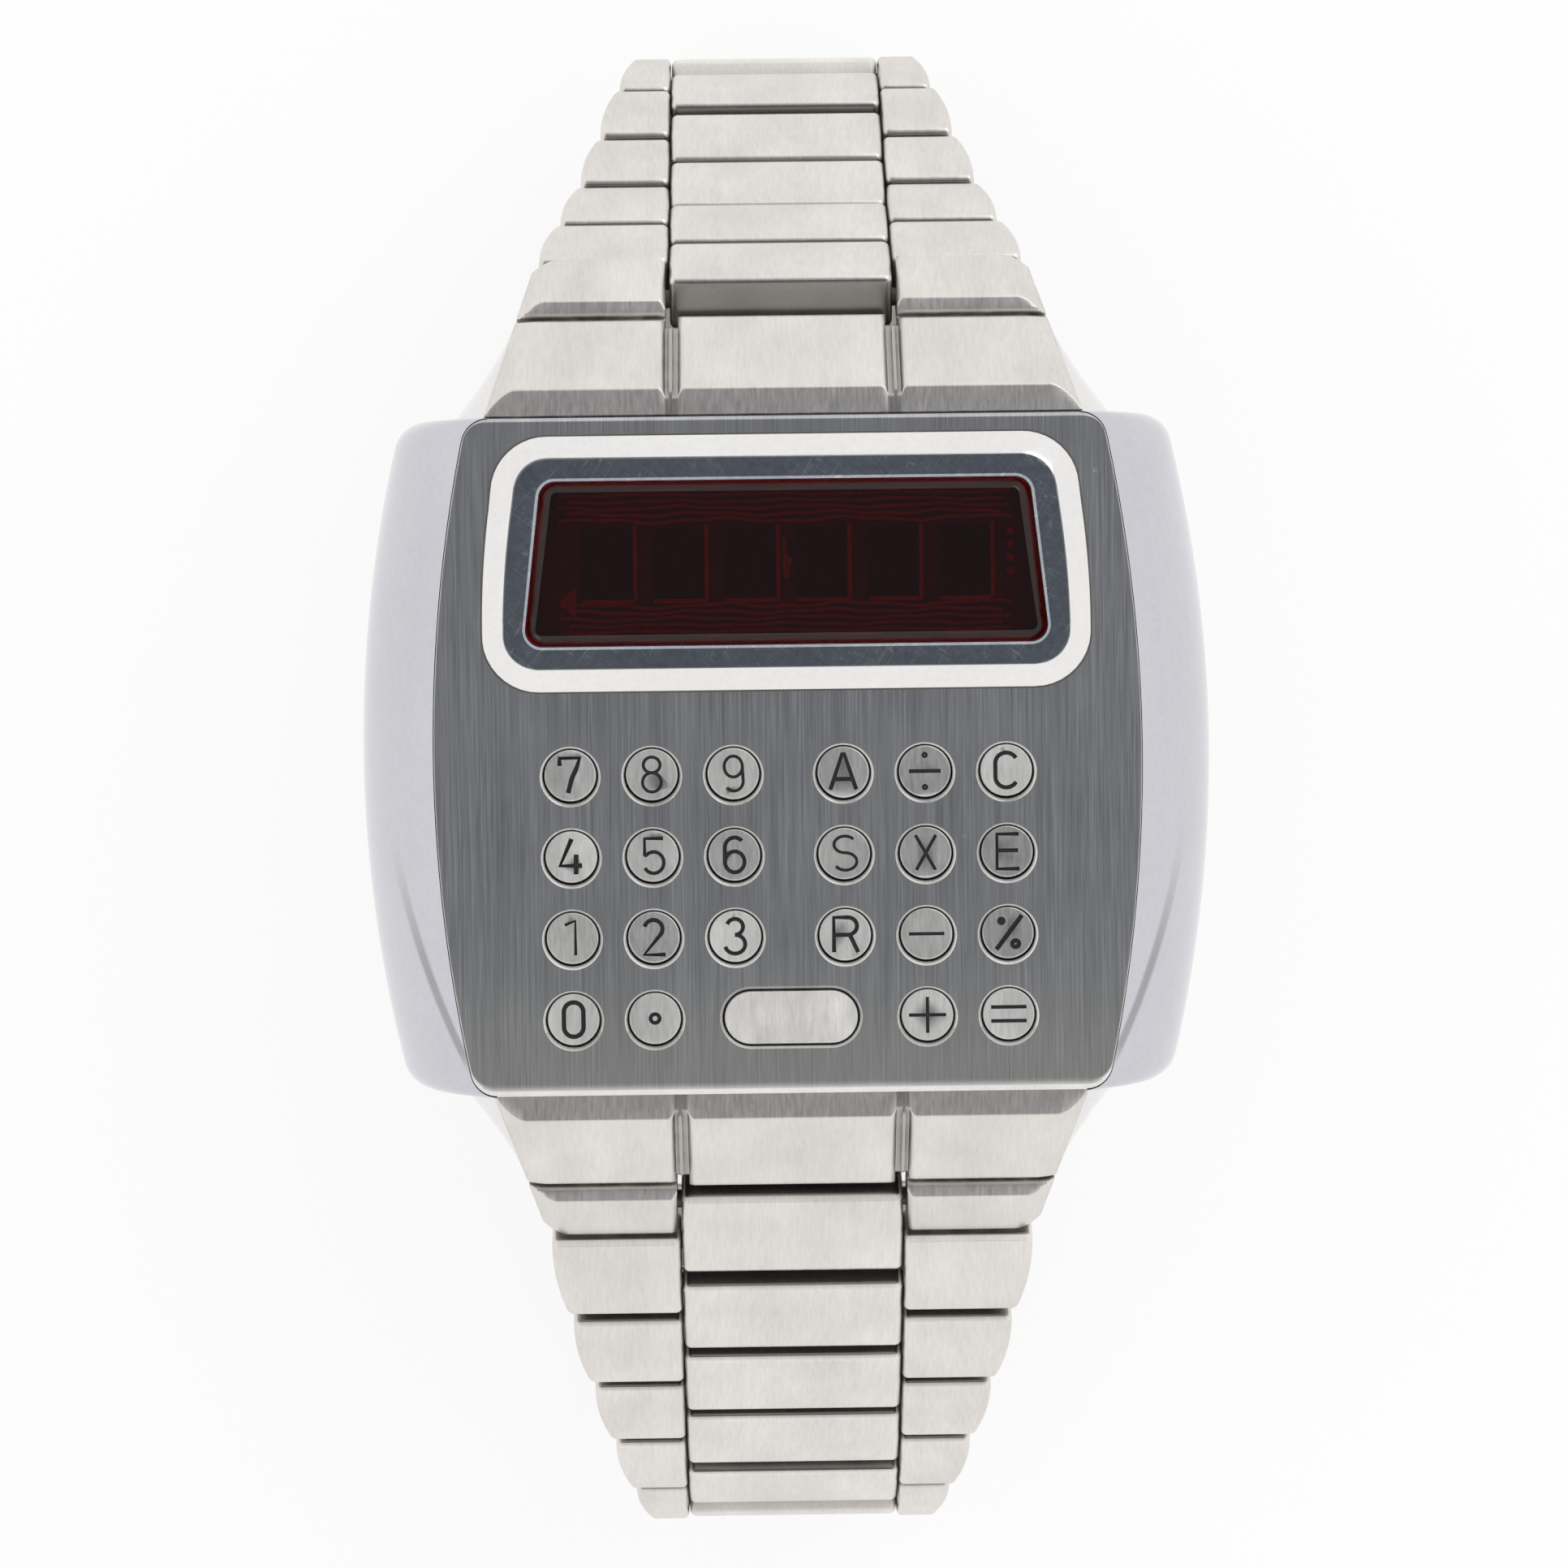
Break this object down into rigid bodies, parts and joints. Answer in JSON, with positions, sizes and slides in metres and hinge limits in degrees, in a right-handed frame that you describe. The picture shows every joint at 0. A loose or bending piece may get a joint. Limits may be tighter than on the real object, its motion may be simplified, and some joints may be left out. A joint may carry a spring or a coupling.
{
  "type": "digital watch",
  "caption": "Calculator wristwatch: barrel-shaped steel case with a red display window over a grid of small keys, on a tapering link bracelet with a folding clasp.",
  "frame": {"origin": "on the outer face of the closed clasp, straight under the centre of the case", "axes": "+Z out of the dial, +Y towards 12 o'clock, +X towards 3 o'clock"},
  "size_m": [0.046, 0.0869, 0.0498],
  "materials": {
    "polished_steel": "polished stainless steel",
    "brushed_plate": "vertically brushed stainless steel",
    "satin_steel": "satin stainless steel",
    "key_steel": "turned and satin finished steel",
    "red_crystal": "polished dark red filter glass",
    "display_ceramic": "dark ceramic with printed traces",
    "board": "green circuit board with black chips",
    "rubber_mat": "matt silicone rubber",
    "gasket_rubber": "black rubber",
    "frame_plastic": "black moulded plastic",
    "cell_steel": "nickel plated steel can"
  },
  "bodies": {
    "case": {"case_body": "polished_steel", "face_plate": "brushed_plate", "window_frame": "polished_steel", "crystal": "red_crystal", "display_board": "display_ceramic", "key_mat": "rubber_mat", "circuit_board": "board", "movement_frame": "frame_plastic", "button_cells": "cell_steel", "back_gasket": "gasket_rubber", "case_back": "satin_steel", "back_screws": "polished_steel", "upper_end_link": "satin_steel", "lower_end_link": "satin_steel"},
    "upper_row_1": {"upper_row_1": "satin_steel"},
    "upper_row_2": {"upper_row_2": "satin_steel"},
    "upper_row_3": {"upper_row_3": "satin_steel"},
    "upper_row_4": {"upper_row_4": "satin_steel"},
    "upper_row_5": {"upper_row_5": "satin_steel"},
    "upper_row_6": {"upper_row_6": "satin_steel"},
    "upper_row_7": {"upper_row_7": "satin_steel"},
    "upper_row_8": {"upper_row_8": "satin_steel"},
    "upper_row_9": {"upper_row_9": "satin_steel"},
    "upper_row_10": {"upper_row_10": "satin_steel"},
    "lower_row_1": {"lower_row_1": "satin_steel"},
    "lower_row_2": {"lower_row_2": "satin_steel"},
    "lower_row_3": {"lower_row_3": "satin_steel"},
    "lower_row_4": {"lower_row_4": "satin_steel"},
    "lower_row_5": {"lower_row_5": "satin_steel"},
    "lower_row_6": {"lower_row_6": "satin_steel"},
    "lower_row_7": {"lower_row_7": "satin_steel"},
    "lower_row_8": {"lower_row_8": "satin_steel"},
    "lower_row_9": {"lower_row_9": "satin_steel"},
    "lower_row_10": {"lower_row_10": "satin_steel"},
    "base_blade": {"base_blade": "polished_steel"},
    "fold_blade": {"fold_blade": "polished_steel"},
    "clasp_cover": {"clasp_cover": "satin_steel"},
    "key_7": {"key_7": "key_steel"},
    "key_8": {"key_8": "key_steel"},
    "key_9": {"key_9": "key_steel"},
    "key_a": {"key_a": "key_steel"},
    "key_divide": {"key_divide": "key_steel"},
    "key_c": {"key_c": "key_steel"},
    "key_4": {"key_4": "key_steel"},
    "key_5": {"key_5": "key_steel"},
    "key_6": {"key_6": "key_steel"},
    "key_s": {"key_s": "key_steel"},
    "key_multiply": {"key_multiply": "key_steel"},
    "key_e": {"key_e": "key_steel"},
    "key_1": {"key_1": "key_steel"},
    "key_2": {"key_2": "key_steel"},
    "key_3": {"key_3": "key_steel"},
    "key_r": {"key_r": "key_steel"},
    "key_minus": {"key_minus": "key_steel"},
    "key_percent": {"key_percent": "key_steel"},
    "key_0": {"key_0": "key_steel"},
    "key_point": {"key_point": "key_steel"},
    "key_plus": {"key_plus": "key_steel"},
    "key_equals": {"key_equals": "key_steel"},
    "time_button": {"time_button": "key_steel"}
  },
  "joints": [
    {"name": "upper_row_1_hinge", "type": "hinge", "parent": "case", "child": "upper_row_1", "pos_m": [0, 0.02463, 0.0391], "axis": [1, 0, 0], "range_deg": [0, 18]},
    {"name": "upper_row_2_hinge", "type": "hinge", "parent": "upper_row_1", "child": "upper_row_2", "pos_m": [0, 0.02713, 0.0342], "axis": [1, 0, 0], "range_deg": [0, 10]},
    {"name": "upper_row_3_hinge", "type": "hinge", "parent": "upper_row_2", "child": "upper_row_3", "pos_m": [0, 0.02962, 0.0293], "axis": [1, 0, 0], "range_deg": [0, 3]},
    {"name": "upper_row_4_hinge", "type": "hinge", "parent": "upper_row_3", "child": "upper_row_4", "pos_m": [0, 0.0327, 0.02474], "axis": [1, 0, 0], "range_deg": [0, 8]},
    {"name": "upper_row_5_hinge", "type": "hinge", "parent": "upper_row_4", "child": "upper_row_5", "pos_m": [0, 0.03593, 0.02029], "axis": [1, 0, 0], "range_deg": [0, 20]},
    {"name": "upper_row_6_hinge", "type": "hinge", "parent": "upper_row_5", "child": "upper_row_6", "pos_m": [0, 0.03834, 0.01534], "axis": [1, 0, 0], "range_deg": [0, 44]},
    {"name": "upper_row_7_hinge", "type": "hinge", "parent": "upper_row_6", "child": "upper_row_7", "pos_m": [0, 0.03758, 0.0099], "axis": [1, 0, 0], "range_deg": [0, 38]},
    {"name": "upper_row_8_hinge", "type": "hinge", "parent": "upper_row_7", "child": "upper_row_8", "pos_m": [0, 0.03435, 0.00545], "axis": [1, 0, 0], "range_deg": [0, 36]},
    {"name": "upper_row_9_hinge", "type": "hinge", "parent": "upper_row_8", "child": "upper_row_9", "pos_m": [0, 0.02949, 0.00286], "axis": [1, 0, 0], "range_deg": [0, 30]},
    {"name": "upper_row_10_hinge", "type": "hinge", "parent": "upper_row_9", "child": "upper_row_10", "pos_m": [0, 0.02404, 0.0021], "axis": [1, 0, 0], "range_deg": [0, 18]},
    {"name": "lower_row_1_hinge", "type": "hinge", "parent": "case", "child": "lower_row_1", "pos_m": [0, -0.02463, 0.0391], "axis": [-1, 0, 0], "range_deg": [0, 3]},
    {"name": "lower_row_2_hinge", "type": "hinge", "parent": "lower_row_1", "child": "lower_row_2", "pos_m": [0, -0.02953, 0.0366], "axis": [-1, 0, 0], "range_deg": [0, 22]},
    {"name": "lower_row_3_hinge", "type": "hinge", "parent": "lower_row_2", "child": "lower_row_3", "pos_m": [0, -0.03381, 0.03314], "axis": [-1, 0, 0], "range_deg": [0, 16]},
    {"name": "lower_row_4_hinge", "type": "hinge", "parent": "lower_row_3", "child": "lower_row_4", "pos_m": [0, -0.03769, 0.02925], "axis": [-1, 0, 0], "range_deg": [0, 14]},
    {"name": "lower_row_5_hinge", "type": "hinge", "parent": "lower_row_4", "child": "lower_row_5", "pos_m": [0, -0.0413, 0.0251], "axis": [-1, 0, 0], "range_deg": [0, 21]},
    {"name": "lower_row_6_hinge", "type": "hinge", "parent": "lower_row_5", "child": "lower_row_6", "pos_m": [0, -0.04405, 0.02034], "axis": [-1, 0, 0], "range_deg": [0, 34]},
    {"name": "lower_row_7_hinge", "type": "hinge", "parent": "lower_row_6", "child": "lower_row_7", "pos_m": [0, -0.04463, 0.01487], "axis": [-1, 0, 0], "range_deg": [0, 30]},
    {"name": "lower_row_8_hinge", "type": "hinge", "parent": "lower_row_7", "child": "lower_row_8", "pos_m": [0, -0.0433, 0.00953], "axis": [-1, 0, 0], "range_deg": [0, 34]},
    {"name": "lower_row_9_hinge", "type": "hinge", "parent": "lower_row_8", "child": "lower_row_9", "pos_m": [0, -0.03991, 0.00519], "axis": [-1, 0, 0], "range_deg": [0, 34]},
    {"name": "lower_row_10_hinge", "type": "hinge", "parent": "lower_row_9", "child": "lower_row_10", "pos_m": [0, -0.03505, 0.00261], "axis": [-1, 0, 0], "range_deg": [0, 32]},
    {"name": "base_blade_hinge", "type": "hinge", "parent": "lower_row_10", "child": "base_blade", "pos_m": [0, -0.02958, 0.0021], "axis": [-1, 0, 0], "range_deg": [0, 15]},
    {"name": "clasp_fold", "type": "hinge", "parent": "base_blade", "child": "fold_blade", "pos_m": [0, 0.01104, 0.00228], "axis": [1, 0, 0], "range_deg": [0, 145]},
    {"name": "clasp_cover_hinge", "type": "hinge", "parent": "fold_blade", "child": "clasp_cover", "pos_m": [0, -0.02508, 0.00195], "axis": [-1, 0, 0], "range_deg": [0, 145]},
    {"name": "key_7_press", "type": "slide", "parent": "case", "child": "key_7", "axis": [0, 0, -1], "range_m": [0, 0.00035], "stiffness_N_per_m": 400, "springref_m": -0.0005},
    {"name": "key_8_press", "type": "slide", "parent": "case", "child": "key_8", "axis": [0, 0, -1], "range_m": [0, 0.00035], "stiffness_N_per_m": 400, "springref_m": -0.0005},
    {"name": "key_9_press", "type": "slide", "parent": "case", "child": "key_9", "axis": [0, 0, -1], "range_m": [0, 0.00035], "stiffness_N_per_m": 400, "springref_m": -0.0005},
    {"name": "key_a_press", "type": "slide", "parent": "case", "child": "key_a", "axis": [0, 0, -1], "range_m": [0, 0.00035], "stiffness_N_per_m": 400, "springref_m": -0.0005},
    {"name": "key_divide_press", "type": "slide", "parent": "case", "child": "key_divide", "axis": [0, 0, -1], "range_m": [0, 0.00035], "stiffness_N_per_m": 400, "springref_m": -0.0005},
    {"name": "key_c_press", "type": "slide", "parent": "case", "child": "key_c", "axis": [0, 0, -1], "range_m": [0, 0.00035], "stiffness_N_per_m": 400, "springref_m": -0.0005},
    {"name": "key_4_press", "type": "slide", "parent": "case", "child": "key_4", "axis": [0, 0, -1], "range_m": [0, 0.00035], "stiffness_N_per_m": 400, "springref_m": -0.0005},
    {"name": "key_5_press", "type": "slide", "parent": "case", "child": "key_5", "axis": [0, 0, -1], "range_m": [0, 0.00035], "stiffness_N_per_m": 400, "springref_m": -0.0005},
    {"name": "key_6_press", "type": "slide", "parent": "case", "child": "key_6", "axis": [0, 0, -1], "range_m": [0, 0.00035], "stiffness_N_per_m": 400, "springref_m": -0.0005},
    {"name": "key_s_press", "type": "slide", "parent": "case", "child": "key_s", "axis": [0, 0, -1], "range_m": [0, 0.00035], "stiffness_N_per_m": 400, "springref_m": -0.0005},
    {"name": "key_multiply_press", "type": "slide", "parent": "case", "child": "key_multiply", "axis": [0, 0, -1], "range_m": [0, 0.00035], "stiffness_N_per_m": 400, "springref_m": -0.0005},
    {"name": "key_e_press", "type": "slide", "parent": "case", "child": "key_e", "axis": [0, 0, -1], "range_m": [0, 0.00035], "stiffness_N_per_m": 400, "springref_m": -0.0005},
    {"name": "key_1_press", "type": "slide", "parent": "case", "child": "key_1", "axis": [0, 0, -1], "range_m": [0, 0.00035], "stiffness_N_per_m": 400, "springref_m": -0.0005},
    {"name": "key_2_press", "type": "slide", "parent": "case", "child": "key_2", "axis": [0, 0, -1], "range_m": [0, 0.00035], "stiffness_N_per_m": 400, "springref_m": -0.0005},
    {"name": "key_3_press", "type": "slide", "parent": "case", "child": "key_3", "axis": [0, 0, -1], "range_m": [0, 0.00035], "stiffness_N_per_m": 400, "springref_m": -0.0005},
    {"name": "key_r_press", "type": "slide", "parent": "case", "child": "key_r", "axis": [0, 0, -1], "range_m": [0, 0.00035], "stiffness_N_per_m": 400, "springref_m": -0.0005},
    {"name": "key_minus_press", "type": "slide", "parent": "case", "child": "key_minus", "axis": [0, 0, -1], "range_m": [0, 0.00035], "stiffness_N_per_m": 400, "springref_m": -0.0005},
    {"name": "key_percent_press", "type": "slide", "parent": "case", "child": "key_percent", "axis": [0, 0, -1], "range_m": [0, 0.00035], "stiffness_N_per_m": 400, "springref_m": -0.0005},
    {"name": "key_0_press", "type": "slide", "parent": "case", "child": "key_0", "axis": [0, 0, -1], "range_m": [0, 0.00035], "stiffness_N_per_m": 400, "springref_m": -0.0005},
    {"name": "key_point_press", "type": "slide", "parent": "case", "child": "key_point", "axis": [0, 0, -1], "range_m": [0, 0.00035], "stiffness_N_per_m": 400, "springref_m": -0.0005},
    {"name": "key_plus_press", "type": "slide", "parent": "case", "child": "key_plus", "axis": [0, 0, -1], "range_m": [0, 0.00035], "stiffness_N_per_m": 400, "springref_m": -0.0005},
    {"name": "key_equals_press", "type": "slide", "parent": "case", "child": "key_equals", "axis": [0, 0, -1], "range_m": [0, 0.00035], "stiffness_N_per_m": 400, "springref_m": -0.0005},
    {"name": "time_button_press", "type": "slide", "parent": "case", "child": "time_button", "axis": [0, 0, -1], "range_m": [0, 0.00035], "stiffness_N_per_m": 400, "springref_m": -0.0005}
  ],
  "couplings": [
    {"joint": "clasp_cover_hinge", "follows": "clasp_fold", "ratio": 1}
  ]
}
